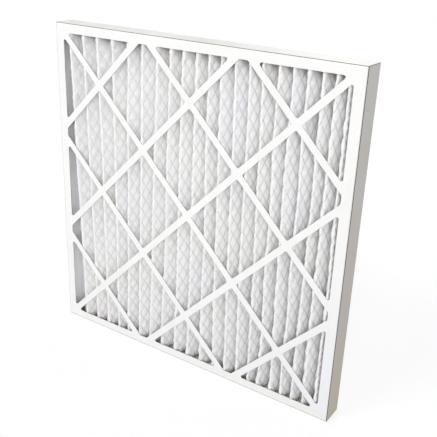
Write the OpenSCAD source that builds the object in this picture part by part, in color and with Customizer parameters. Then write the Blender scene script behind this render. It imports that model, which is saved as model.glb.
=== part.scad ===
// Pleated panel air filter, 24 x 24 x 2 inch trade size.
// Two die-cut board trays nest face to face round one pleated pack of media, which an
// expanded-metal grid keeps open. It stands on its bottom edge, air-leaving face to -Y.

/* [Frame] */
// Outside width of the frame
frame_w = 594; // [400:1:620]
// Outside height of the frame
frame_h = 594; // [400:1:620]
// Outside depth of the frame, face to face
frame_d = 44.5; // [36:0.5:100]
// Thickness of the die-cut board
board_t = 0.8; // [0.5:0.1:1.2]
// Outside radius of a folded edge of the board
fold_r = 1.4; // [1.3:0.1:2.5]
// How far the outer tray's cut edges stop short of the front face
edge_recess = 1.4; // [0:0.1:2]
// Slit between the outer tray's walls at each corner
corner_slit = 0.3; // [0.2:0.1:1]

/* [Corner tabs of the inner tray] */
// Length of a tab along its wall
tab_len = 32; // [15:1:60]
// How much narrower a tab gets towards its free end, on each edge
tab_taper = 5; // [0:1:8]
// Distance from a tab to the tray's face and to the wall's cut edge
tab_margin = 2; // [1.5:0.5:4]

/* [Die-cut faces] */
// Width of the border down the two sides of each face
border_w = 18.5; // [12:0.5:30]
// Width of the border along the top and the bottom of each face
border_h = 16.5; // [12:0.5:30]
// How far inside the frame's sides the pattern of straps ends
strap_inset = 3; // [0:0.5:10]
// Width of the diagonal straps
strap_w = 12; // [8:0.5:20]
// Number of crossed squares along each side
squares = 3; // [2:1:4]
// Radius in the corners of the cut-outs
cut_r = 3; // [1:0.5:4]

/* [Pleat pack] */
// Number of folds that reach the front face
pleat_count = 21; // [12:1:24]
// First front fold from the frame's left edge, at mid-height
first_fold = 39; // [30:1:50]
// Last front fold from the frame's right edge, at mid-height
last_fold = 25; // [20:1:40]
// Last pitch between folds as a share of the first pitch
pitch_ratio = 0.66; // [0.6:0.01:1]
// Most that a fold leans sideways at its top and bottom ends
lean = 9; // [0:0.5:9]
// Folds in one wave of the lean, from one side to the other and back
lean_wave = 13; // [10:1:20]
// Thickness of the filter media
media_t = 2; // [1:0.1:2]
// Thickness of the expanded-metal grid
grid_t = 0.6; // [0.4:0.1:0.6]
// Radius of a front fold, where media and grid meet
front_fold_r = 2.6; // [2.3:0.1:3]
// Radius of a back fold, where media and grid meet
back_fold_r = 1; // [0.8:0.1:1.5]
// Gap between the front face's board and the free ends of the pack's side legs
leg_gap = 1; // [0.5:0.5:3]

/* [Adhesive and clearances] */
// Thickness of the adhesive under the ends of the pleats
end_glue_t = 1.5; // [0.8:0.1:3]
// Distance from an adhesive bead to the board of the two faces
glue_margin = 1; // [0.5:0.5:3]
// Clearance between pieces that are glued or that bear on each other
seat_gap = 0.1; // [0.05:0.05:0.2]

/* [Hidden] */

eps = 1;                                             // how far a cut runs past what it cuts
fold_steps = 4;                                      // flats in the fold of a tray's edge
corner_steps = 4;                                    // flats in the round corner of a cut-out
bend_steps = 3;                                      // flats in a fold of the pack

y_front = -frame_d / 2;                              // outside of the front face
y_back = frame_d / 2;                                // outside of the back face
y_front_in = y_front + board_t;                      // inside of the front face
y_back_in = y_back - board_t;                        // inside of the back face

fold_inside_r = fold_r - board_t;                    // inside radius of a folded edge
inner_d = frame_d - board_t - fold_inside_r;         // depth of the inner tray, clear of that fold
inner_w = frame_w - 2 * (board_t + seat_gap);        // outside width of the inner tray
inner_h = frame_h - 2 * (board_t + seat_gap);        // outside height of the inner tray
z_low = board_t + seat_gap;                          // lowest point of the inner tray
clear_w = inner_w - 2 * board_t;                     // width between the inner tray's walls
z_floor = z_low + board_t;                           // inside of the inner tray's bottom wall
z_ceiling = frame_h - z_floor;                       // inside of the inner tray's top wall

cell_w = (frame_w - 2 * strap_inset) / squares;      // one crossed square of straps
cell_h = frame_h / squares;
strap_reach = strap_w / 2 * norm([cell_w, cell_h]);
open_w = cell_w / 2 - strap_reach / cell_h;          // half the width that four straps leave open
open_h = cell_h / 2 - strap_reach / cell_w;          // half the height that they leave open

side_glue_t = board_t - seat_gap;          // the side beads are level with the corner tabs
z_pack_low = z_floor + 2 * seat_gap + end_glue_t;    // lower ends of the pleats
z_pack_high = z_ceiling - 2 * seat_gap - end_glue_t; // upper ends of the pleats

// The pack is laid out on the surface where the media and the grid are bonded together.
bond_front_y = y_front_in + seat_gap + grid_t + seat_gap / 2;
bond_back_y = y_back_in - seat_gap - media_t - seat_gap / 2;
leg_x = clear_w / 2 - board_t - seat_gap - media_t - seat_gap / 2;
leg_front_y = y_front_in + leg_gap;

fold_span = frame_w - first_fold - last_fold;
taper = (1 - pitch_ratio) / (1 + pitch_ratio);

function unit(v) = v / norm(v);

// Points round one corner b of a convex outline that turns anticlockwise through a, b, c.
function round_corner(a, b, c, r, n) =
    let(to_a = unit(a - b), to_c = unit(c - b),
        half = acos(to_a * to_c) / 2,
        centre = b + unit(to_a + to_c) * r / sin(half),
        start = b + to_a * r / tan(half) - centre,
        from = atan2(start[1], start[0]),
        sweep = 180 - 2 * half)
    [for (i = [0:n]) centre + r * [cos(from + sweep * i / n), sin(from + sweep * i / n)]];

function rounded(points, r, n) =
    let(last = len(points) - 1)
    [for (i = [0:last])
        each round_corner(points[i == 0 ? last : i - 1], points[i],
                          points[i == last ? 0 : i + 1], r, n)];

// Section through a tray: an open-backed U with its two front edges folded to radius r.
function tray_section(w, depth, r) = concat(
    [[-w / 2, depth]],
    [for (i = [0:fold_steps]) let(a = 180 + 90 * i / fold_steps)
        [-w / 2 + r + r * cos(a), r + r * sin(a)]],
    [for (i = [0:fold_steps]) let(a = 270 + 90 * i / fold_steps)
        [w / 2 - r + r * cos(a), r + r * sin(a)]],
    [[w / 2, depth]]
);

// Solid block with its face at y = 0, the edges of that face folded round, and z from 0 to h.
module tray_block(w, h, depth, r) {
    intersection() {
        linear_extrude(h)
            polygon(tray_section(w, depth, r));
        translate([-w / 2, 0, h / 2])
            rotate([0, 90, 0])
                linear_extrude(w)
                    polygon(tray_section(h, depth, r));
    }
}

// Folded board tray, open at the back: outside face at y = 0, walls as deep as depth.
module tray(w, h, depth) {
    difference() {
        tray_block(w, h, depth, fold_r);
        translate([0, board_t, board_t])
            tray_block(w - 2 * board_t, h - 2 * board_t, depth, fold_inside_r);
    }
}

// Lays a shape drawn in the plane of the face (x across, y up) through the board at y = 0.
module through_face() {
    translate([0, board_t + eps, 0])
        rotate([90, 0, 0])
            linear_extrude(board_t + 2 * eps)
                children();
}

// The part of a convex outline where n * point stays at or below limit.
function clipped(points, n, limit) =
    let(last = len(points) - 1)
    [for (i = [0:last])
        let(a = points[i], b = points[i == last ? 0 : i + 1],
            past_a = n * a - limit, past_b = n * b - limit)
        each concat(past_a <= 0 ? [a] : [],
                    past_a * past_b < 0 ? [a + (b - a) * past_a / (past_a - past_b)] : [])];

// The part of a convex outline that lies inside the border of the face.
function inside_border(points) =
    let(x = frame_w / 2 - border_w, y = frame_h - border_h)
    clipped(clipped(clipped(clipped(points, [1, 0], x), [-1, 0], x), [0, 1], y), [0, -1], -border_h);

// The diamond that four straps leave open round a point of the face.
function diamond(centre) =
    [for (corner = [[open_w, 0], [0, open_h], [-open_w, 0], [0, -open_h]]) centre + corner];

// The cut-outs of one face: x across from the middle, y up from the bottom edge of the frame.
module cut_outs() {
    for (i = [0:2 * squares], j = [0:2 * squares])
        if ((i + j) % 2 == 1)
            polygon(rounded(inside_border(diamond([(i - squares) * cell_w / 2, j * cell_h / 2])),
                            cut_r, corner_steps));
}

// Mirrors its children to both sides of the frame.
module both_sides() {
    children();
    mirror([1, 0, 0]) children();
}

// Mirrors its children to the top and the bottom of the frame.
module both_ends() {
    children();
    translate([0, 0, frame_h]) mirror([0, 0, 1]) children();
}

// Glue tab folded from the end of the bottom wall against the inside of a side wall.
module corner_tab() {
    from = y_front_in + tab_margin;
    to = y_front + inner_d - tab_margin;
    translate([clear_w / 2 - board_t, 0, z_floor])
        rotate([90, 0, 90])
            linear_extrude(board_t)
                polygon([[from, 0], [to, 0], [to - tab_taper, tab_len], [from + tab_taper, tab_len]]);
}

// Slit between the outer tray's bottom wall and its side wall.
module corner_cut() {
    translate([frame_w / 2 - board_t - corner_slit, y_front - eps, -eps])
        cube([corner_slit, frame_d - fold_r + eps, board_t + eps]);
}

module front_tray() {
    color("white") {
        difference() {
            translate([0, y_front, z_low])
                tray(inner_w, inner_h, inner_d);
            translate([0, y_front, 0])
                through_face()
                    cut_outs();
        }
        both_ends() both_sides() corner_tab();
    }
}

module back_tray() {
    color("ghostwhite")
        difference() {
            translate([0, y_back, 0])
                mirror([0, 1, 0])
                    tray(frame_w, frame_h, frame_d - edge_recess);
            translate([0, y_back - board_t, 0])
                through_face()
                    cut_outs();
            both_ends() both_sides() corner_cut();
        }
}

// Sideways lean of fold k at the top of the pack; its lower end leans the other way.
function lean_of(k) = -lean * cos(360 * k / lean_wave) * exp(-pow(k / lean_wave, 2));

// Place of front fold k across the frame. s runs from -1 at the bottom of the pack to 1 at its top.
function front_fold_x(k, s) =
    let(u = k / (pleat_count - 1))
    -frame_w / 2 + first_fold + fold_span * u * (1 + taper - taper * u) + s * lean_of(k);

// The back fold that follows front fold k. The first and the last turn into the side legs.
function back_fold_x(k, s) =
    k < 0 ? -leg_x + back_fold_r :
    k > pleat_count - 2 ? leg_x - back_fold_r :
    (front_fold_x(k, s) + front_fold_x(k + 1, s)) / 2;

function front_centre(k, s) = [front_fold_x(k, s), bond_front_y + front_fold_r];
function back_centre(k, s) = [back_fold_x(k, s), bond_back_y - back_fold_r];

// Direction in which the flank beside front fold k faces: side is 1 for the flank on its right
// and -1 for the one on its left. The flank is the tangent between the two folds it joins.
function flank_faces(k, side, s) =
    let(run = back_centre(side > 0 ? k : k - 1, s) - front_centre(k, s))
    atan2(run[1], run[0]) - side * acos((front_fold_r + back_fold_r) / norm(run))
        + (side > 0 ? 360 : 0);

// A stop on the pack's path is [centre, radius, direction from the centre, 1 front or -1 back].
function bend(centre, r, from, to, way) =
    [for (i = [0:bend_steps]) [centre, r, from + (to - from) * i / bend_steps, way]];

function leg_end(side) = [[side * (leg_x - back_fold_r), leg_front_y], back_fold_r, 90 - side * 90, -1];

function pack_path(s) = concat(
    [leg_end(-1)],
    bend(back_centre(-1, s), back_fold_r, 180, flank_faces(0, -1, s) - 180, -1),
    [for (k = [0:pleat_count - 1]) each concat(
        bend(front_centre(k, s), front_fold_r, flank_faces(k, -1, s), flank_faces(k, 1, s), 1),
        bend(back_centre(k, s), back_fold_r, flank_faces(k, 1, s) - 180,
             k == pleat_count - 1 ? 0 : flank_faces(k + 1, -1, s) - 180, -1))],
    [leg_end(1)]
);

// The point that lies a distance out from the bonded surface, towards the front face.
function beside(stop, out) =
    stop[0] + (stop[1] + stop[3] * out) * [cos(stop[2]), sin(stop[2])];

// A pleated sheet that fills the pack between two distances from the bonded surface.
module pleated_sheet(out_from, out_to) {
    low = pack_path(-1);
    high = pack_path(1);
    n = len(low);
    points = concat(
        [for (stop = low) each [[each beside(stop, out_from), z_pack_low],
                                [each beside(stop, out_to), z_pack_low]]],
        [for (stop = high) each [[each beside(stop, out_from), z_pack_high],
                                 [each beside(stop, out_to), z_pack_high]]]);
    top = 2 * n;
    function quad(a, b, c, d) = [[a, b, c], [a, c, d]];
    faces = concat(
        [for (i = [0:n - 2]) let(a = 2 * i, b = a + 2) each concat(
            quad(a, b, b + top, a + top),
            quad(a + 1, a + 1 + top, b + 1 + top, b + 1),
            quad(b, a, a + 1, b + 1),
            quad(a + top, b + top, b + 1 + top, a + 1 + top))],
        quad(0, top, top + 1, 1),
        quad(top - 2, top - 1, 2 * top - 1, 2 * top - 2));
    polyhedron(points, faces);
}

module pleated_media() {
    color("whitesmoke")
        pleated_sheet(-seat_gap / 2 - media_t, -seat_gap / 2);
}

module expanded_metal_grid() {
    color("lightgrey")
        pleated_sheet(seat_gap / 2, seat_gap / 2 + grid_t);
}

// Bead of adhesive pressed flat: it runs along x, its wide side at z = 0.
module bead(length, thickness) {
    from = y_front_in + glue_margin;
    to = y_back_in - glue_margin;
    translate([-length / 2, 0, 0])
        rotate([90, 0, 90])
            linear_extrude(length)
                polygon([[from, 0], [to, 0], [to - thickness, thickness], [from + thickness, thickness]]);
}

// Bead between the bottom wall and the lower ends of the pleats.
module end_bead() {
    translate([0, 0, z_floor + seat_gap])
        bead(clear_w - 2 * (board_t + seat_gap), end_glue_t);
}

// Bead between the right wall and the pack's side leg, from corner tab to corner tab.
module side_bead() {
    translate([clear_w / 2 - seat_gap, 0, frame_h / 2])
        rotate([0, -90, 0])
            bead(frame_h - 2 * (z_floor + tab_len + seat_gap), side_glue_t);
}

module glue_bead_bottom() {
    color("ivory") end_bead();
}

module glue_bead_top() {
    color("ivory") translate([0, 0, frame_h]) mirror([0, 0, 1]) end_bead();
}

module glue_bead_right() {
    color("ivory") side_bead();
}

module glue_bead_left() {
    color("ivory") mirror([1, 0, 0]) side_bead();
}

front_tray();
back_tray();
pleated_media();
expanded_metal_grid();
glue_bead_top();
glue_bead_bottom();
glue_bead_left();
glue_bead_right();
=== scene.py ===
"""Looks of the pleated panel air filter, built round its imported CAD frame.

The two board trays and the beads of adhesive are the CAD's own solids with board and adhesive
materials. The pleated media is rebuilt as one closed, puffed mesh, and the expanded-metal grid
as its real strands. Both follow one path, laid out by the rule that the CAD source uses for its
folds, with sharper front folds and slow waves added. Lengths are in metres.
"""
import math

import bpy
import numpy as np
from mathutils import Matrix, Vector


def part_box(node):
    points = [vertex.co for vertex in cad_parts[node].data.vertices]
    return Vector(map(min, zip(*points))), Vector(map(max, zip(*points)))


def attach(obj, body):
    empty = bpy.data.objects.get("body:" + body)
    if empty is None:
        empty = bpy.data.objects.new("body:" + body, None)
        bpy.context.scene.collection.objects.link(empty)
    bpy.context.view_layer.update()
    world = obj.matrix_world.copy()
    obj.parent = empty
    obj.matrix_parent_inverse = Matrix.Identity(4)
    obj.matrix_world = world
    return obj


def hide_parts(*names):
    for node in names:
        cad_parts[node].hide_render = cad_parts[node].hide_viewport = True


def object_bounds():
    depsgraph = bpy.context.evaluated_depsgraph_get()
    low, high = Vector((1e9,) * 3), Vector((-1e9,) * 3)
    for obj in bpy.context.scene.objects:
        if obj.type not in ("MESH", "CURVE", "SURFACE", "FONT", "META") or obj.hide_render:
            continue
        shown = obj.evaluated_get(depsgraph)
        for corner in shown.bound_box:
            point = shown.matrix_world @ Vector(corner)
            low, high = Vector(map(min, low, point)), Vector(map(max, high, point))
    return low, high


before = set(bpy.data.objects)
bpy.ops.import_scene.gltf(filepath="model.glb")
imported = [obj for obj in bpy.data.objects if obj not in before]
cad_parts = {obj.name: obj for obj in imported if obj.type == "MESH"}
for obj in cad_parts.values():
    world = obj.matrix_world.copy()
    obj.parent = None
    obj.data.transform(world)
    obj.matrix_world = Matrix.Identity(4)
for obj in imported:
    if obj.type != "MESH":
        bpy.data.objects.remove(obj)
cad_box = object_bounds()

MM = 0.001
SEED = 24

# ---------------------------------------------------------------- the pleat pack's layout
BOARD_T = 0.8 * MM
EDGE_RECESS = 1.4 * MM    # the outer tray's cut edges stop this far behind the front face
PLEATS = 21
FIRST_FOLD = 39 * MM      # first front fold from the frame's left edge, at mid-height
LAST_FOLD = 25 * MM       # last front fold from the frame's right edge
PITCH_RATIO = 0.66        # last pitch between folds as a share of the first
LEAN = 9 * MM             # most that a fold leans sideways at its ends
LEAN_WAVE = 13            # folds in one wave of the lean, which dies away to the right
WOBBLE = 0.9 * MM         # typical size of the slow waves added to each fold
MEDIA_T = 2 * MM
GRID_T = 0.6 * MM
FRONT_R = 1.6 * MM
BACK_R = 1.0 * MM
LEG_GAP = 1 * MM
SEAT = 0.1 * MM           # keeps pieces apart that touch in the real filter
BOARD_CLEAR = 0.05 * MM   # no part of the pack comes nearer to the front board
FOLD_SETBACK = 1.1 * MM   # how far the strands stay behind the straps, so that the puffs fit

BOX_LOW, BOX_HIGH = cad_box
FRAME_W = BOX_HIGH.x - BOX_LOW.x
Y_FRONT, Y_BACK = BOX_LOW.y, BOX_HIGH.y
Y_FRONT_IN = Y_FRONT + BOARD_T
Y_BACK_IN = Y_BACK - BOARD_T
BOND_FRONT = Y_FRONT_IN + SEAT + GRID_T + SEAT / 2 + FOLD_SETBACK
BOND_BACK = Y_BACK_IN - SEAT - MEDIA_T - SEAT / 2
LEG_X = FRAME_W / 2 - (BOARD_T + SEAT) - 2 * BOARD_T - SEAT - MEDIA_T - SEAT / 2
LEG_FRONT = Y_FRONT_IN + LEG_GAP
FOLD_SPAN = FRAME_W - FIRST_FOLD - LAST_FOLD
TAPER = (1 - PITCH_RATIO) / (1 + PITCH_RATIO)

PACK_LOW, PACK_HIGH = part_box("pleated_media")
Z_LOW, Z_HIGH = PACK_LOW.z, PACK_HIGH.z
Z_MID = (Z_LOW + Z_HIGH) / 2
Z_HALF = (Z_HIGH - Z_LOW) / 2

# ---------------------------------------------------------------- the grid and the media
MESH_SHORT = 17.0 * MM    # short way of one diamond of the grid, across the pleat
MESH_LONG = 27.5 * MM     # long way of one diamond, along the pleat
STRAND_W = 1.25 * MM
NODE_INSET = 0.45         # strands keep this share of their width inside the lines of nodes
PUFF = 2.6 * MM           # how far the media swells through a diamond on a flank
TIP_PUFF = 2.3 * MM       # how far it swells on a front fold
LEG_PUFF = 0.15           # share of that swelling on the left leg
LIVELY = (0.45, 1.35)     # least and most that one tuft swells, as a share
TUFTS = (97, 89)          # size of the table that each diamond takes its share from
STRAP_CLEAR = 0.12 * MM   # the puffs on the front folds stay this far behind the straps
PRESS = 0.1 * MM          # how far the media lies behind the bonded surface at the strands
FOLD_EASE = 6 * MM        # distance from a fold over which the media changes to a flank's shape
BACK_EASE = 12 * MM       # distance from a back fold over which the puffs grow
END_EASE = 4 * MM         # distance from the pack's ends over which the puffs grow
BOW = 0.45 * MM           # size of each of the two slow waves in the flanks
BOW_EASE = 14 * MM        # distance from a fold over which they grow
BACK_HOLLOW = 0.25 * MM   # how far the back of the media follows a puff
FOLD_CORE = 0.25 * MM     # radius left open inside a front fold of the media

QUARTER_U = MESH_SHORT / 4    # cells of the media's mesh: four across and along a diamond
QUARTER_V = MESH_LONG / 4
U_GAP = 0.9 * MM          # least distance from a regular cut to one in a fold
Z_GAP = 1.5 * MM          # least distance from a cut to the pack's ends
STRAND_GAP = 0.3 * MM     # least distance from a strand's node to a cut
BEND_CUTS = 4             # parts that a fold is cut into
BACK_STRAND_CUTS = 2      # parts of a strand in a back fold, which hardly shows
TINY = 1e-6               # keeps rounding steady on the lines between diamonds


def wobble_table(rng, count, spread):
    """Random slow waves, one set for each fold: amplitude, waves over the height, phase."""
    waves = np.array([0.6, 1.3, 2.4])
    amount = rng.normal(0, 1, (count, 3)) * spread / np.sqrt(1 + waves)
    return amount, waves * rng.uniform(0.8, 1.25, (count, 3)), rng.uniform(0, 2 * np.pi, (count, 3))


rng = np.random.default_rng(SEED)
FRONT_WAVES = wobble_table(rng, PLEATS, WOBBLE)
BACK_WAVES = wobble_table(rng, PLEATS, WOBBLE)


def wobble(table, k, z):
    amount, waves, phase = (part[k] for part in table)
    turn = (2 * np.pi * (z - Z_LOW) / (2 * Z_HALF))[:, None]
    return (amount * np.sin(waves * turn + phase)).sum(1)


def front_x(k, z):
    """Place across the frame of front fold k at height z. k and z are arrays."""
    part = k / (PLEATS - 1)
    lean = -LEAN * np.cos(2 * np.pi * k / LEAN_WAVE) * np.exp(-(k / LEAN_WAVE) ** 2)
    return (-FRAME_W / 2 + FIRST_FOLD + FOLD_SPAN * part * (1 + TAPER - TAPER * part)
            + (z - Z_MID) / Z_HALF * lean + wobble(FRONT_WAVES, k, z))


def back_x(k, z):
    """Place of the back fold after front fold k. The first and the last turn into the legs."""
    inner = np.clip(k, 0, PLEATS - 2)
    middle = (front_x(inner, z) + front_x(inner + 1, z)) / 2 + wobble(BACK_WAVES, inner, z)
    end = LEG_X - BACK_R
    return np.where(k < 0, -end, np.where(k > PLEATS - 2, end, middle))


def flank_angle(k, side, z):
    """Direction that the flank beside front fold k faces, on its side 1 (right) or -1 (left)."""
    run_x = back_x(np.where(side > 0, k, k - 1), z) - front_x(k, z)
    run_y = (BOND_BACK - BACK_R) - (BOND_FRONT + FRONT_R)
    return (np.arctan2(run_y, run_x)
            - side * np.arccos((FRONT_R + BACK_R) / np.hypot(run_x, run_y))
            + np.where(side > 0, 2 * np.pi, 0))


STOPS = 4 * PLEATS + 4      # the path's stops; odd pieces between them are bends


def stops(i, z):
    """Centre, radius, direction and way (1 front fold, -1 back fold) of stop i at height z."""
    k, phase = (i - 3) // 4, (i - 3) % 4
    front = (phase < 2) & (i > 2) & (i < STOPS - 1)
    kf = np.clip(k, 0, PLEATS - 1)
    right = np.clip(k + 1, 0, PLEATS - 1)
    before = np.where(i == STOPS - 1, PLEATS - 1, np.maximum(k, -1))
    x = np.where(front, front_x(kf, z), back_x(before, z))
    y = np.where(front, BOND_FRONT + FRONT_R, BOND_BACK - BACK_R)
    y = np.where((i == 0) | (i == STOPS - 1), LEG_FRONT, y)
    to_left, to_right = np.full_like(i, -1), np.full_like(i, 1)
    angle = np.select(
        [i <= 1, i >= STOPS - 2, phase == 0, phase == 1, phase == 2],
        [np.pi, 0.0, flank_angle(kf, to_left, z), flank_angle(kf, to_right, z),
         flank_angle(kf, to_right, z) - np.pi],
        flank_angle(right, to_left, z) - np.pi)
    return x, y, np.where(front, FRONT_R, BACK_R), angle, np.where(front, 1.0, -1.0)


def place(piece, share, z, out):
    """Points of the pack: a share of the way along a piece of its path, at height z, out from the
    bonded surface towards the front."""
    x0, y0, r, a0, way = stops(piece, z)
    x1, y1, r1, a1, way1 = stops(piece + 1, z)
    bend = piece % 2 == 1
    turn = a0 + (a1 - a0) * share
    from_x, from_y = x0 + (r + way * out) * np.cos(a0), y0 + (r + way * out) * np.sin(a0)
    to_x, to_y = x1 + (r1 + way1 * out) * np.cos(a1), y1 + (r1 + way1 * out) * np.sin(a1)
    x = np.where(bend, x0 + (r + way * out) * np.cos(turn), from_x + (to_x - from_x) * share)
    y = np.where(bend, y0 + (r + way * out) * np.sin(turn), from_y + (to_y - from_y) * share)
    return np.stack([x, np.maximum(y, Y_FRONT_IN + BOARD_CLEAR), z], 1)


def path_lengths():
    """Developed place of each stop along the path, at mid-height."""
    n = STOPS - 1
    steps = 8
    piece = np.repeat(np.arange(n), steps + 1)
    share = np.tile(np.arange(steps + 1) / steps, n)
    p = place(piece, share, np.full(len(piece), Z_MID), np.zeros(len(piece)))
    d = np.linalg.norm(np.diff(p.reshape(n, steps + 1, 3), axis=1), axis=2).sum(1)
    return np.concatenate([[0], np.cumsum(d)])


STOP_AT = path_lengths()


def along(u):
    """Piece and share of developed places u."""
    piece = np.clip(np.searchsorted(STOP_AT, u, "right") - 1, 0, STOPS - 2)
    return piece, np.clip((u - STOP_AT[piece]) / (STOP_AT[piece + 1] - STOP_AT[piece]), 0, 1)


def ease(x):
    x = np.clip(x, 0, 1)
    return x * x * (3 - 2 * x)


FRONT_ENDS = STOP_AT[3:-1].reshape(-1, 4)[:, :2]          # start and end of each front bend
BACK_ENDS = np.array([STOP_AT[1:3]] + [STOP_AT[5 + 4 * k:7 + 4 * k] for k in range(PLEATS)])


def distance_to(spans, u):
    """How far developed places u are from the nearest of some spans along the path."""
    gap = np.maximum(spans[:, 0] - u[:, None], u[:, None] - spans[:, 1])
    return np.maximum(gap.min(1), 0)


def bow(u, z):
    """Slow unevenness of the flanks, which the media and the grid share. None at the folds."""
    away = np.minimum(distance_to(FRONT_ENDS, u), distance_to(BACK_ENDS, u))
    rising = np.sin(u / (61 * MM) * 2 + z / (83 * MM))
    falling = np.sin(u / (37 * MM) - z / (47 * MM) * 1.7)
    return BOW * (rising + falling) * ease(away / BOW_EASE)


def diamond(u, z):
    """0 on the strands and 1 in the middle of a diamond, and which diamond it is."""
    p = u / MESH_SHORT + (z - Z_MID) / MESH_LONG
    q = u / MESH_SHORT - (z - Z_MID) / MESH_LONG
    inside = 2 * np.minimum(np.abs(p - np.round(p)), np.abs(q - np.round(q)))
    return inside, np.floor(p + TINY).astype(int), np.floor(q + TINY).astype(int)


def puff(u, z):
    """How far the media stands out of the grid on its front side."""
    inside, p, q = diamond(u, z)
    lively = np.random.default_rng(SEED + 1).uniform(*LIVELY, TUFTS)
    room = ease(distance_to(BACK_ENDS, u) / BACK_EASE)
    depth = TIP_PUFF + (PUFF - TIP_PUFF) * ease(distance_to(FRONT_ENDS, u) / FOLD_EASE)
    leg = np.where(u < STOP_AT[1], LEG_PUFF, 1.0)
    end = ease(np.minimum(z - Z_LOW, Z_HIGH - z) / END_EASE)
    tuft = lively[p % TUFTS[0], q % TUFTS[1]]
    return depth * (1 - (1 - inside) ** 2) * tuft * room * leg * end - PRESS


def new_mesh(name, points, faces, smooth):
    """Object from points and faces, given as arrays of quads or triangles."""
    mesh = bpy.data.meshes.new(name)
    mesh.from_pydata(points.tolist(), [], [f for part in faces for f in part.tolist()])
    mesh.validate()
    mesh.polygons.foreach_set("use_smooth", np.full(len(mesh.polygons), smooth))
    mesh.update()
    obj = bpy.data.objects.new(name, mesh)
    bpy.context.scene.collection.objects.link(obj)
    return obj


def steps_with(marks, extra, least):
    """Sorted places: all the marks, and the extra ones that keep clear of every mark."""
    marks = np.asarray(marks)
    extra = [e for e in extra if np.abs(marks - e).min() > least]
    return np.sort(np.concatenate([marks, extra]))


def cuts_in(i, parts):
    """Developed places that divide the bend from stop i to the next into equal parts."""
    return list(STOP_AT[i] + (STOP_AT[i + 1] - STOP_AT[i]) * np.arange(parts + 1) / parts)


def media_steps():
    """Developed places and heights at which the media is cut into faces."""
    length = STOP_AT[-1]
    bends = [0.0]
    for i in range(1, STOPS - 1, 2):
        bends += cuts_in(i, BEND_CUTS)
    bends.append(length)
    u = steps_with(bends, np.arange(1, int(length / QUARTER_U) + 1) * QUARTER_U, U_GAP)
    half = int(Z_HALF / QUARTER_V)
    z = steps_with([Z_LOW, Z_HIGH], Z_MID + np.arange(-half, half + 1) * QUARTER_V, Z_GAP)
    if len(z) % 2 == 0:
        z = np.sort(np.append(z, (z[0] + z[1]) / 2))
    return u, z


def front_faces(a, u, z):
    """Two triangles for each cell of the front side, split along the strands."""
    c0, c1, c2, c3 = a[:-1, :-1], a[1:, :-1], a[1:, 1:], a[:-1, 1:]
    i = np.floor(u[:-1] / QUARTER_U + TINY).astype(int)[:, None]
    j = np.floor((z[:-1] - Z_MID) / QUARTER_V + TINY).astype(int)[None, :]
    rising = ((i - j) % 2 == 0)[..., None]
    one = np.where(rising, np.stack([c0, c1, c2], 2), np.stack([c0, c1, c3], 2))
    two = np.where(rising, np.stack([c0, c2, c3], 2), np.stack([c1, c2, c3], 2))
    return [one.reshape(-1, 3), two.reshape(-1, 3)]


def closing_faces(a, b):
    """The back side b, half as fine along the pleats, and the rim that joins it to the front a."""
    b0, b1, b2, b3 = b[:-1, :-1], b[1:, :-1], b[1:, 1:], b[:-1, 1:]
    low = np.stack([a[:-1, 0], b[:-1, 0], b[1:, 0], a[1:, 0]], 1)
    high = np.stack([a[:-1, -1], a[1:, -1], b[1:, -1], b[:-1, -1]], 1)
    rims = []
    for col, way in ((0, 1), (len(a) - 1, -1)):
        for r in range(b.shape[1] - 1):
            rim = [a[col, 2 * r], a[col, 2 * r + 1], a[col, 2 * r + 2], b[col, r + 1], b[col, r]]
            rims.append(rim[::way])
    return [np.stack([b0, b3, b2, b1], 2).reshape(-1, 4), low, high, np.array(rims)]


def build_media():
    """The pleated sheet of media: a fine puffed front and a plainer back, closed all round."""
    u, z = media_steps()
    nu, nz, nb = len(u), len(z), len(z[::2])
    ua, za = np.repeat(u, nz), np.tile(z, nu)
    piece, share = along(ua)
    front = place(piece, share, za, bow(ua, za) + puff(ua, za))
    front[:, 1] = np.maximum(front[:, 1], Y_FRONT_IN + STRAP_CLEAR)

    ub, zb = np.repeat(u, nb), np.tile(z[::2], nu)
    piece, share = along(ub)
    inside, _, _ = diamond(ub, zb)
    hollow = BACK_HOLLOW * inside * ease(distance_to(BACK_ENDS, ub) / FOLD_EASE)
    thick, in_fold = MEDIA_T + SEAT / 2, FRONT_R - FOLD_CORE
    thick = in_fold + (thick - in_fold) * ease(distance_to(FRONT_ENDS, ub) / FOLD_EASE)
    back = place(piece, share, zb, bow(ub, zb) - thick + hollow)

    a = np.arange(nu * nz).reshape(nu, nz)
    b = np.arange(nu * nb).reshape(nu, nb) + nu * nz
    obj = new_mesh("media", np.concatenate([front, back]),
                   front_faces(a, u, z) + closing_faces(a, b), True)
    layer = obj.data.uv_layers.new(name="developed")
    flat = np.concatenate([np.stack([ua, za], 1), np.stack([ub, zb], 1)]) / MESH_LONG
    loops = np.zeros(len(obj.data.loops), int)
    obj.data.loops.foreach_get("vertex_index", loops)
    layer.data.foreach_set("uv", flat[loops].astype(np.float32).ravel())
    return obj


def strand_line(strand, rows, cuts):
    """Middle of one zigzag strand: developed places, heights, and its slant at each point."""
    even = (strand + rows) % 2 == 0
    node_u = np.where(even, strand * MESH_SHORT / 2 + STRAND_W * NODE_INSET,
                      (strand + 1) * MESH_SHORT / 2 - STRAND_W * NODE_INSET)
    node_z = Z_MID + rows * MESH_LONG / 2
    us, zs, slant = [node_u[0]], [node_z[0]], [0.0]
    for u0, u1, z0, z1 in zip(node_u, node_u[1:], node_z, node_z[1:]):
        between = cuts[(cuts > min(u0, u1) + STRAND_GAP) & (cuts < max(u0, u1) - STRAND_GAP)]
        for c in between if u1 > u0 else between[::-1]:
            us.append(c)
            zs.append(z0 + (z1 - z0) * (c - u0) / (u1 - u0))
            slant.append(math.atan2(u1 - u0, z1 - z0))
        us.append(u1)
        zs.append(z1)
        slant.append(0.0)
    return np.array(us), np.array(zs), np.array(slant)


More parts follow.
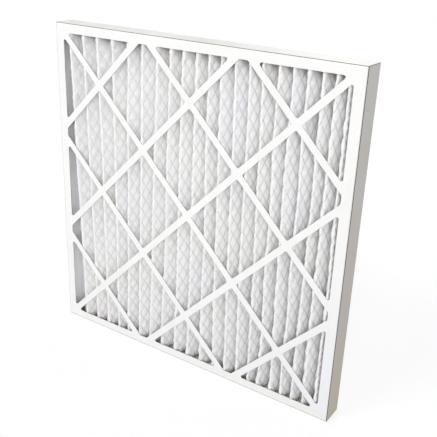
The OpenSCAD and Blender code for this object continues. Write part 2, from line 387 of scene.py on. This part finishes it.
def strand_bar(us, zs, slant, first):
    """Points and faces of one strand, a bar of four corners. Its points are numbered from first."""
    inner, outer = SEAT / 2, SEAT / 2 + GRID_T
    ring = []
    for side, out in ((-1, inner), (1, inner), (1, outer), (-1, outer)):
        u = us + side * (STRAND_W / 2) * np.cos(slant)
        z = zs - side * (STRAND_W / 2) * np.sin(slant)
        piece, share = along(u)
        ring.append(place(piece, share, z, bow(u, z) + out))
    base = first + np.arange(len(us) - 1)[:, None] * 4
    corner = np.arange(4)[None, :]
    after = (corner + 1) % 4
    sides = np.stack([base + corner, base + after, base + 4 + after, base + 4 + corner], 2)
    last = first + 4 * (len(us) - 1)
    caps = [[first + 3, first + 2, first + 1, first], [last, last + 1, last + 2, last + 3]]
    return np.stack(ring, 1).reshape(-1, 3), [sides.reshape(-1, 4), np.array(caps)]


def build_grid():
    """The strands of the expanded metal, each one a zigzag bar that follows the pleats."""
    first = int(STOP_AT[1] / (MESH_SHORT / 2)) + 1      # the left leg shows plain media
    last = int(STOP_AT[-1] / (MESH_SHORT / 2)) - 1
    half_rows = int(Z_HALF / (MESH_LONG / 2))
    rows = np.arange(-half_rows, half_rows + 1)
    cuts = []
    for i in range(1, STOPS - 1, 2):
        cuts += cuts_in(i, BEND_CUTS if (i - 3) % 4 == 0 else BACK_STRAND_CUTS)
    cuts = np.array(cuts)
    points, faces, count = [], [], 0
    for strand in range(first, last):
        bar, sides = strand_bar(*strand_line(strand, rows, cuts), count)
        points.append(bar)
        faces += sides
        count += len(bar)
    return new_mesh("grid", np.concatenate(points), faces, False)


# ---------------------------------------------------------------- materials
class Graph:
    """Builds the node tree of one material or world."""

    def __init__(self, owner):
        owner.use_nodes = True
        self.tree = owner.node_tree
        self.tree.nodes.clear()

    def put(self, socket, value):
        if isinstance(value, bpy.types.NodeSocket):
            self.tree.links.new(value, socket)
        else:
            socket.default_value = value

    def add(self, kind, inputs=None, **settings):
        node = self.tree.nodes.new("ShaderNode" + kind)
        for name, value in settings.items():
            setattr(node, name, value)
        for name, value in (inputs or {}).items():
            self.put(node.inputs[name], value)
        return node

    def math(self, operation, *values):
        node = self.add("Math", operation=operation)
        for i, value in enumerate(values):
            self.put(node.inputs[i], value)
        return node.outputs[0]

    def mix(self, factor, a, b, blend="MIX"):
        node = self.add("Mix", data_type="RGBA", blend_type=blend)
        for i, value in ((0, factor), (6, a), (7, b)):
            self.put(node.inputs[i], value)
        return node.outputs[2]

    def noise(self, vector, scale, detail=2.0, roughness=0.5, stretch=None):
        if stretch:
            vector = self.add("Mapping", {"Vector": vector, "Scale": stretch}).outputs[0]
        node = self.add("TexNoise", {"Vector": vector, "Scale": scale, "Detail": detail,
                                     "Roughness": roughness})
        return node.outputs["Fac"]

    def ramp(self, value, low, high, out_low=0.0, out_high=1.0):
        node = self.add("MapRange", {"Value": value, "From Min": low, "From Max": high,
                                     "To Min": out_low, "To Max": out_high}, clamp=True)
        return node.outputs[0]

    def bump(self, height, strength, distance):
        return self.add("Bump", {"Height": height, "Strength": strength,
                                 "Distance": distance}).outputs[0]

    def product(self, *values):
        result = values[0]
        for value in values[1:]:
            result = self.math("MULTIPLY", result, value)
        return result

    def seen(self):
        """1 for what the camera sees, directly, in a gloss or through glass, and 0 otherwise."""
        path = self.add("LightPath").outputs
        return self.math("MAXIMUM", path["Is Camera Ray"],
                         self.math("MAXIMUM", path["Is Glossy Ray"], path["Is Transmission Ray"]))

    def mix_shaders(self, factor, a, b):
        node = self.add("MixShader", {0: factor})
        self.tree.links.new(a.outputs[0], node.inputs[1])
        self.tree.links.new(b.outputs[0], node.inputs[2])
        return node

    def surface(self, shader):
        out = self.add("OutputMaterial")
        self.tree.links.new(shader.outputs[0], out.inputs["Surface"])


def rgb(r, g, b):
    return (r, g, b, 1.0)


def shade(colour, share):
    return rgb(*[c * share for c in colour])


BOARD_WHITE = (0.90, 0.899, 0.896)
BOARD_LOWER_RIGHT_SHADE = (0.84, 0.845, 0.89)       # painted shade: darker and cooler towards the lower right of the faces
BOARD_FOOT_SHADE = (0.845, 0.85, 0.805)     # painted shade: darker and faintly yellow along the bottom right
BOARD_PAINTED_LIGHT = (1.035, 1.035, 1.035)   # painted light: lifts the white, but not at the top and the right
BOARD_INSIDE = (0.80, 0.78, 0.74)
BOARD_CORE = (0.27, 0.235, 0.21)      # where the board is cut
CUT_EDGE_AND_GAP_SHADE = (0.13, 0.11, 0.095)       # the outer tray's cut edges, darkened with painted shade, and the painted shadow line by them


def board_white(g, spot, p, grain, mottle):
    """The coated side: slightly mottled, a little different from place to place, with painted light
    and shade.
    """
    streak = g.noise(spot, 60.0, 3.0, 0.5, (9.0, 9.0, 0.25))
    tone = g.mix(g.ramp(mottle, 0.35, 0.7), rgb(*BOARD_WHITE), shade(BOARD_WHITE, 0.965))
    tone = g.mix(g.ramp(streak, 0.45, 0.75, 0.0, 0.35), tone, shade(BOARD_WHITE, 0.9))
    tone = g.mix(g.ramp(grain, 0.3, 0.8, 0.0, 0.25), tone, shade(BOARD_WHITE, 0.93))

    # painted shade towards the lower right of the faces
    diagonal = g.math("SUBTRACT", p[2], g.math("MULTIPLY", p[0], 0.5))
    low = g.ramp(diagonal, -FRAME_W * 0.25, FRAME_W * 0.3, 1.0, 0.0)
    tone = g.mix(g.math("MULTIPLY", low, 0.95), tone, rgb(*BOARD_LOWER_RIGHT_SHADE))
    # painted shade along the bottom right of the faces
    foot_shade = g.product(g.ramp(p[2], BOX_LOW.z + 11 * MM, BOX_LOW.z + 20 * MM, 0.8, 0.0),
                     g.ramp(p[0], -FRAME_W * 0.1, FRAME_W * 0.3))
    tone = g.mix(foot_shade, tone, rgb(*BOARD_FOOT_SHADE))
    # painted light that lifts the white towards the left
    light_lift = g.product(g.ramp(p[2], FRAME_W * 0.55, FRAME_W * 0.9, 1.0, 0.0),
                      g.ramp(p[0], FRAME_W * 0.1, FRAME_W * 0.42, 1.0, 0.0))
    return g.mix(light_lift, tone, rgb(*BOARD_PAINTED_LIGHT), "MULTIPLY")


def faces_inward(g, n, p):
    """Mask of the board's own inside, where a face looks towards the middle of the frame."""
    out_x = g.math("MULTIPLY", n[0], p[0])
    out_y = g.math("MULTIPLY", n[1], g.math("SUBTRACT", p[1], (Y_FRONT + Y_BACK) / 2))
    out_z = g.math("MULTIPLY", n[2], g.math("SUBTRACT", p[2], (BOX_LOW.z + BOX_HIGH.z) / 2))
    facing = g.math("ADD", g.math("ADD", out_x, out_y), out_z)
    return g.math("LESS_THAN", facing, 0.0)


def board_material(name, edge_mask, outer_tint=None):
    """Clay-coated board: white outside, plainer inside, and a grey-brown core where it is cut."""
    material = bpy.data.materials.new(name)
    g = Graph(material)
    spot = g.add("TexCoord").outputs["Object"]
    n = g.add("SeparateXYZ", {0: g.add("NewGeometry").outputs["True Normal"]}).outputs
    p = g.add("SeparateXYZ", {0: spot}).outputs
    mottle = g.noise(spot, 28.0, 4.0, 0.55)
    grain = g.noise(spot, 900.0, 3.0, 0.6)

    tone = board_white(g, spot, p, grain, mottle)
    if outer_tint:
        tone = outer_tint(g, n, p, tone)
    kraft = g.mix(g.ramp(g.noise(spot, 420.0, 5.0, 0.65), 0.3, 0.7), rgb(*BOARD_INSIDE),
                  shade(BOARD_INSIDE, 0.86))
    tone = g.mix(faces_inward(g, n, p), tone, kraft)
    fibre = g.mix(g.ramp(g.noise(spot, 700.0, 4.0, 0.7), 0.3, 0.7), rgb(*BOARD_CORE),
                  shade(BOARD_CORE, 0.72))
    tone = g.mix(edge_mask(g, n, p), tone, fibre)

    height = g.math("ADD", g.math("MULTIPLY", grain, 0.35), g.math("MULTIPLY", mottle, 1.0))
    shader = g.add("BsdfPrincipled", {
        "Base Color": tone, "Roughness": g.ramp(grain, 0.2, 0.8, 0.5, 0.66),
        "Specular IOR Level": 0.2, "Normal": g.bump(height, 0.25, 0.3 * MM)})
    g.surface(shader)
    return material


def within(g, value, low, high):
    return g.math("MULTIPLY", g.math("GREATER_THAN", value, low), g.math("LESS_THAN", value, high))


def cut_out_edges(y_low, y_high):
    """Mask of the cut board round the openings of a face whose board lies between two depths."""
    from_side, slack = 4 * MM, 0.1 * MM

    def mask(g, n, p):
        inside = within(g, p[0], BOX_LOW.x + from_side, BOX_HIGH.x - from_side)
        inside = g.product(inside, within(g, p[2], BOX_LOW.z + from_side, BOX_HIGH.z - from_side))
        inside = g.product(inside, within(g, p[1], y_low - slack, y_high + slack))
        return g.product(inside, g.math("LESS_THAN", g.math("ABSOLUTE", n[1]), 0.5))
    return mask


def side_wall_shade(g, p, cloud):
    """Painted shade for the two side walls: grey, darker and warmer downwards."""
    height = g.ramp(p[2], BOX_LOW.z, BOX_HIGH.z)
    height = g.math("ADD", height, g.ramp(cloud, 0.3, 0.7, -0.15, 0.15))
    lower_wall_tone = g.mix(g.ramp(height, 0.0, 0.45), rgb(0.69, 0.63, 0.50), rgb(0.71, 0.665, 0.625))
    return g.mix(g.ramp(height, 0.45, 1.0), lower_wall_tone, rgb(0.775, 0.765, 0.74))


def cream_ends_painted_light(g, p, cloud):
    """Cream for the top and bottom walls, with painted light that makes them lighter towards the
    left.
    """
    patch = g.ramp(cloud, 0.35, 0.65)
    cool = g.mix(patch, rgb(0.915, 0.908, 0.885), rgb(0.885, 0.875, 0.845))
    warm = g.mix(patch, rgb(1.05, 1.03, 1.005), rgb(0.985, 0.962, 0.935))
    return g.mix(g.ramp(p[0], -FRAME_W * 0.12, FRAME_W * 0.2), warm, cool)


def cut_edges_and_gap_shade(g, n, p, on_side, on_end, ragged):
    """Mask of the outer tray's cut edges, and of the thin line of painted shadow along them on the
    walls.
    """
    from_front = g.math("ADD", g.math("SUBTRACT", p[1], Y_FRONT + EDGE_RECESS), ragged)
    from_end = g.math("MINIMUM", g.math("SUBTRACT", BOX_HIGH.z, p[2]),
                      g.math("SUBTRACT", p[2], BOX_LOW.z))
    from_end = g.math("ADD", from_end, ragged)
    # painted shadow: a thin dark line on the walls along the cut edges
    line = g.math("MAXIMUM", g.ramp(from_front, 0.9 * MM, 1.3 * MM, 1.0, 0.0),
                  g.ramp(from_end, 0.5 * MM, 0.9 * MM, 1.0, 0.0))
    wall_end = g.math("GREATER_THAN", g.math("ABSOLUTE", p[0]), BOX_HIGH.x - BOARD_T - 0.15 * MM)
    rim = g.product(g.math("LESS_THAN", n[1], -0.5),
                    g.math("LESS_THAN", p[1], Y_FRONT + EDGE_RECESS + 0.5 * MM))
    cut = g.math("MAXIMUM", rim, g.product(on_end, wall_end))
    return g.math("MAXIMUM", cut, g.product(on_side, line))


def wall_tint(g, n, p, tone):
    """The outer walls: painted shade, greyer and warmer downwards, on the two sides, and cut board
    in painted shadow along their edges.
    """
    on_side = g.math("GREATER_THAN", g.math("ABSOLUTE", n[0]), 0.5)
    on_end = g.math("GREATER_THAN", g.math("ABSOLUTE", n[2]), 0.5)
    spot = g.add("CombineXYZ", {"X": p[0], "Y": p[1], "Z": p[2]}).outputs[0]
    cloud = g.noise(spot, 14.0, 3.0)
    ragged = g.ramp(g.noise(spot, 260.0, 3.0), 0.3, 0.7, -0.3 * MM, 0.3 * MM)

    tone = g.mix(on_side, tone, g.mix(1.0, tone, side_wall_shade(g, p, cloud), "MULTIPLY"))
    tone = g.mix(on_end, tone, g.mix(1.0, tone, cream_ends_painted_light(g, p, cloud), "MULTIPLY"))
    tone = g.mix(cut_edges_and_gap_shade(g, n, p, on_side, on_end, ragged), tone, rgb(*CUT_EDGE_AND_GAP_SHADE))
    # painted shade along the back fold of the walls
    from_back = g.math("ADD", g.math("SUBTRACT", Y_BACK, p[1]), ragged)
    back_fold_shade = g.product(g.ramp(from_back, 1.0 * MM, 2.6 * MM, 0.35, 0.0),
                       g.math("LESS_THAN", g.math("ABSOLUTE", n[1]), 0.7))
    return g.mix(back_fold_shade, tone, rgb(0.55, 0.53, 0.50))


def media_white(g, spot, cloud, tuft, fibre):
    """White with lilac and warm patches, uneven in thickness."""
    wide = g.noise(spot, 9.0, 2.0, 0.5)
    lilac, warm = rgb(0.966, 0.956, 0.998), rgb(0.992, 0.986, 0.965)
    tone = g.mix(g.ramp(wide, 0.38, 0.62), lilac, warm)
    tone = g.mix(g.ramp(cloud, 0.3, 0.7, 0.0, 0.4), tone, rgb(0.965, 0.965, 0.96))
    tone = g.mix(g.ramp(tuft, 0.4, 0.8, 0.0, 0.25), tone, rgb(0.93, 0.93, 0.93))
    return g.mix(g.ramp(fibre, 0.5, 0.8, 0.0, 0.3), tone, rgb(0.99, 0.99, 0.99))


def strand_crease_shade(g, tone, tuft):
    """Painted shade: greyer along the strands, where the media is pinched into creases."""
    flat = g.add("SeparateXYZ", {0: g.add("UVMap", uv_map="developed").outputs[0]}).outputs
    across = g.math("MULTIPLY", flat[0], MESH_LONG / MESH_SHORT)
    nearest = []
    for way in ("ADD", "SUBTRACT"):
        turn = g.math(way, across, g.math("SUBTRACT", flat[1], Z_MID / MESH_LONG))
        nearest.append(g.math("ABSOLUTE", g.math("SUBTRACT", turn, g.math("ROUND", turn))))
    from_strand = g.math("ADD", g.math("MINIMUM", *nearest), g.ramp(tuft, 0.3, 0.7, -0.03, 0.03))
    return g.mix(g.ramp(from_strand, 0.04, 0.22, 0.5, 0.0), tone, rgb(0.84, 0.84, 0.83))


def corner_shade(g, p, tone, cloud):
    """Painted shade: the upper left and the lower right of the pack are a little greyer."""
    drift = g.ramp(cloud, 0.3, 0.7, -0.05, 0.05)
    upper_left_shade = g.math("ADD", g.math("SUBTRACT", g.math("MULTIPLY", p[2], 0.5), p[0]), drift)
    tone = g.mix(g.ramp(upper_left_shade, 0.25, 0.55, 0.0, 1.0), tone, rgb(0.875, 0.87, 0.89))
    lower_right_shade = g.math("ADD", g.math("SUBTRACT", p[0], g.math("MULTIPLY", p[2], 0.7)), drift)
    return g.mix(g.ramp(lower_right_shade, -0.12, 0.20, 0.0, 1.0), tone, rgb(0.895, 0.895, 0.90))


def valley_end_shade(g, p, ragged):
    """Mask of painted shadow at the ends of the pleats, deep in the valleys: strong under the top
    border, weaker at the bottom.
    """
    from_top = g.math("ADD", g.math("SUBTRACT", Z_HIGH, p[2]), ragged)
    from_bottom = g.math("ADD", g.math("SUBTRACT", p[2], Z_LOW), ragged)
    ends = g.math("MAXIMUM", g.ramp(from_top, 13 * MM, 30 * MM, 0.85, 0.0),
                  g.ramp(from_bottom, 1 * MM, 10 * MM, 0.35, 0.0))
    return g.product(ends, g.ramp(p[1], Y_FRONT + 3 * MM, Y_FRONT + 18 * MM))


def media_material():
    """White non-woven media: soft, matt, a little uneven in thickness, with painted shade in its
    creases, on its fold tips, deep in its valleys' ends and towards two corners.
    """
    material = bpy.data.materials.new("media")
    g = Graph(material)
    spot = g.add("TexCoord").outputs["Object"]
    p = g.add("SeparateXYZ", {0: spot}).outputs
    cloud = g.noise(spot, 55.0, 3.0, 0.55)
    tuft = g.noise(spot, 260.0, 4.0, 0.6)
    fibre = g.noise(spot, 1500.0, 3.0, 0.65, (1.0, 1.0, 0.3))
    ragged = g.ramp(cloud, 0.3, 0.7, -3 * MM, 3 * MM)

    tone = media_white(g, spot, cloud, tuft, fibre)
    tone = strand_crease_shade(g, tone, tuft)
    tone = corner_shade(g, p, tone, cloud)
    pleated = g.math("GREATER_THAN", p[0], BOX_LOW.x + 12 * MM)
    streak = g.noise(spot, 150.0, 4.0, 0.65, (1.0, 1.0, 0.12))
    leg = g.mix(g.ramp(streak, 0.42, 0.68), rgb(0.985, 0.973, 1.0), rgb(0.87, 0.86, 0.885))
    tone = g.mix(pleated, leg, tone)
    depth = g.math("ADD", p[1], g.math("MULTIPLY", ragged, 0.4))
    # painted shade on the front fold tips, which tones down their highlight
    tip_shade = g.ramp(depth, Y_FRONT + 2.5 * MM, Y_FRONT + 6.5 * MM, 0.85, 0.0)
    tone = g.mix(tip_shade, tone, rgb(0.885, 0.885, 0.89))
    # painted shadow deep in the valleys at the pleats' ends
    tone = g.mix(valley_end_shade(g, p, ragged), tone, rgb(0.36, 0.31, 0.28))

    fluff = g.noise(spot, 130.0, 3.0, 0.6)
    height = g.math("ADD", g.math("MULTIPLY", tuft, 0.6), g.math("MULTIPLY", fibre, 0.25))
    height = g.math("ADD", height, g.math("MULTIPLY", fluff, 1.6))
    shader = g.add("BsdfPrincipled", {
        "Base Color": tone, "Roughness": 0.95, "Specular IOR Level": 0.15,
        "Sheen Weight": 0.15, "Sheen Roughness": 0.6,
        "Normal": g.bump(height, 0.6, 0.9 * MM)})
    g.surface(shader)
    return material


def grid_material():
    """Galvanised steel with a dull, faintly spangled skin, and painted shade towards the lower
    right.
    """
    material = bpy.data.materials.new("grid")
    g = Graph(material)
    spot = g.add("TexCoord").outputs["Object"]
    spangle = g.noise(spot, 380.0, 3.0, 0.6)
    tone = g.mix(g.ramp(spangle, 0.35, 0.65), rgb(0.82, 0.825, 0.835), rgb(0.74, 0.745, 0.755))
    p = g.add("SeparateXYZ", {0: spot}).outputs
    # painted shade: the strands grey towards the lower right
    corner = g.math("SUBTRACT", p[0], g.math("MULTIPLY", p[2], 0.5))
    tone = g.mix(g.ramp(corner, -0.35, 0.15, 0.0, 0.5), tone, rgb(0.60, 0.60, 0.605))
    shader = g.add("BsdfPrincipled", {
        "Base Color": tone, "Metallic": 0.3, "Roughness": g.ramp(spangle, 0.3, 0.7, 0.35, 0.55),
        "Normal": g.bump(g.noise(spot, 900.0, 2.0), 0.2, 0.1 * MM)})
    g.surface(shader)
    return material


def adhesive_material():
    """Off-white adhesive, patchy, and darker brown towards the left."""
    material = bpy.data.materials.new("adhesive")
    g = Graph(material)
    spot = g.add("TexCoord").outputs["Object"]
    flow = g.noise(spot, 90.0, 3.0, 0.5)
    blotch = g.noise(spot, 30.0, 3.0, 0.5)
    p = g.add("SeparateXYZ", {0: spot}).outputs
    leftward = g.math("ADD", p[0], g.ramp(blotch, 0.3, 0.7, -0.12, 0.12))
    tone = g.mix(g.ramp(flow, 0.3, 0.7), rgb(0.80, 0.765, 0.71), rgb(0.68, 0.635, 0.575))
    tone = g.mix(g.ramp(leftward, -0.12, 0.16, 0.95, 0.1), tone, rgb(0.30, 0.245, 0.21))
    shader = g.add("BsdfPrincipled", {
        "Base Color": tone, "Roughness": g.ramp(flow, 0.3, 0.7, 0.3, 0.5),
        "Normal": g.bump(flow, 0.6, 1.0 * MM)})
    g.surface(shader)
    return material


# ---------------------------------------------------------------- stage
LAMPS = (    # name, watts, place from the middle of the object, width
    ("key", 46.0, (-1.00, -2.30, 2.35), 1.7),
    ("side", 193.0, (3.22, -6.30, 2.38), 3.6),
    ("wide", 85.0, (5.20, -4.36, 1.50), 3.0),
    ("back", 74.0, (-0.80, 3.20, 0.50), 2.0),
)
FILL = 0.45               # the world's light on the object
FLOOR_REACH = 6.0         # radius of the floor
FLOOR_RINGS = 48          # corners of its edge
FLOOR_GLOW = 0.71         # with the lamps' light, brings the floor almost to white

LENS = 57.1               # for a sensor 36 mm wide
CAMERA_FROM = (0.647, -0.900, 0.4604)        # from the middle of the front face
CAMERA_FORWARD = (-0.5009, 0.7750, -0.3853)
CAMERA_RIGHT = (0.8305, 0.5558, 0.0383)


def build_world():
    """Even light on the object, behind a background that is plain white to the camera."""
    world = bpy.data.worlds.new("studio")
    bpy.context.scene.world = world
    g = Graph(world)
    light = g.add("Background", {"Color": rgb(0.985, 0.99, 1.0), "Strength": FILL})
    white = g.add("Background", {"Color": rgb(1.0, 1.0, 1.0), "Strength": 1.0})
    both = g.mix_shaders(g.seen(), light, white)
    g.tree.links.new(both.outputs[0], g.add("OutputWorld").inputs["Surface"])


def build_lamps(middle):
    for name, watts, place_from, width in LAMPS:
        lamp = bpy.data.lights.new(name, "AREA")
        lamp.shape = "DISK"
        lamp.size = width
        lamp.energy = watts
        lamp.color = (1.0, 0.995, 0.98)
        holder = bpy.data.objects.new(name, lamp)
        holder.location = middle + Vector(place_from)
        holder.rotation_euler = (middle - holder.location).to_track_quat("-Z", "Y").to_euler()
        bpy.context.scene.collection.objects.link(holder)


def build_stage():
    """Pale floor, even world light and four soft lamps: upper left, two at the right, behind."""
    bpy.context.scene.view_settings.view_transform = "Standard"
    middle = (BOX_LOW + BOX_HIGH) / 2
    build_world()
    build_lamps(middle)
    around = np.arange(FLOOR_RINGS) * 2 * np.pi / FLOOR_RINGS
    edge = np.stack([middle.x + FLOOR_REACH * np.cos(around),
                     middle.y + FLOOR_REACH * np.sin(around),
                     np.full(FLOOR_RINGS, BOX_LOW.z)], 1)
    floor = new_mesh("floor", edge, [np.arange(FLOOR_RINGS)[None, :]], False)
    floor.data.materials.append(floor_material(middle))


def floor_material(middle):
    """Pale floor that fades into the white background and keeps a faint shadow."""
    material = bpy.data.materials.new("floor")
    g = Graph(material)
    spot = g.add("NewGeometry").outputs["Position"]
    away = g.add("VectorMath", {0: spot, 1: (middle.x, middle.y, BOX_LOW.z)}, operation="DISTANCE")
    fade = g.ramp(away.outputs["Value"], 0.9, 2.4)
    grain = g.noise(spot, 60.0, 3.0)
    seen = g.seen()
    lit = g.add("BsdfPrincipled", {
        "Base Color": g.mix(grain, rgb(0.30, 0.30, 0.30), rgb(0.31, 0.31, 0.31)),
        "Roughness": 0.9, "Specular IOR Level": 0.1})
    glow = g.add("Emission", {"Color": rgb(1, 1, 1), "Strength": FLOOR_GLOW})
    shown = g.add("AddShader")
    g.tree.links.new(lit.outputs[0], shown.inputs[0])
    g.tree.links.new(glow.outputs[0], shown.inputs[1])
    bounce = g.add("BsdfDiffuse", {"Color": rgb(0.42, 0.42, 0.42)})
    near = g.mix_shaders(seen, bounce, shown)
    white = g.add("Emission", {"Color": rgb(1, 1, 1), "Strength": 1.0})
    g.surface(g.mix_shaders(g.math("MULTIPLY", fade, seen), near, white))
    return material


def build_camera():
    """The photograph's camera: right of the filter and above it, tipped a little."""
    data = bpy.data.cameras.new("camera")
    data.sensor_width, data.lens = 36.0, LENS
    data.clip_start, data.clip_end = 0.05, 50.0
    camera = bpy.data.objects.new("camera", data)
    face = Vector(((BOX_LOW.x + BOX_HIGH.x) / 2, Y_FRONT, (BOX_LOW.z + BOX_HIGH.z) / 2))
    forward = Vector(CAMERA_FORWARD).normalized()
    right = Vector(CAMERA_RIGHT)
    right = (right - forward * right.dot(forward)).normalized()
    up = right.cross(forward)
    turn = Matrix((right, up, -forward)).transposed().to_4x4()
    camera.matrix_world = Matrix.Translation(face + Vector(CAMERA_FROM)) @ turn
    bpy.context.scene.collection.objects.link(camera)
    bpy.context.scene.camera = camera


def dress(node, material):
    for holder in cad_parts[node].material_slots:
        holder.material = material


def main():
    build_camera()
    build_stage()

    media = build_media()
    media.data.materials.append(media_material())
    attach(media, "root")
    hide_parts("pleated_media")

    grid = build_grid()
    grid.data.materials.append(grid_material())
    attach(grid, "root")
    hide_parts("expanded_metal_grid")

    front_edges, back_edges = cut_out_edges(Y_FRONT, Y_FRONT_IN), cut_out_edges(Y_BACK_IN, Y_BACK)
    dress("front_tray", board_material("front_board", front_edges))
    dress("back_tray", board_material("back_board", back_edges, wall_tint))
    adhesive = adhesive_material()
    for side in ("top", "bottom", "left", "right"):
        dress("glue_bead_" + side, adhesive)


main()
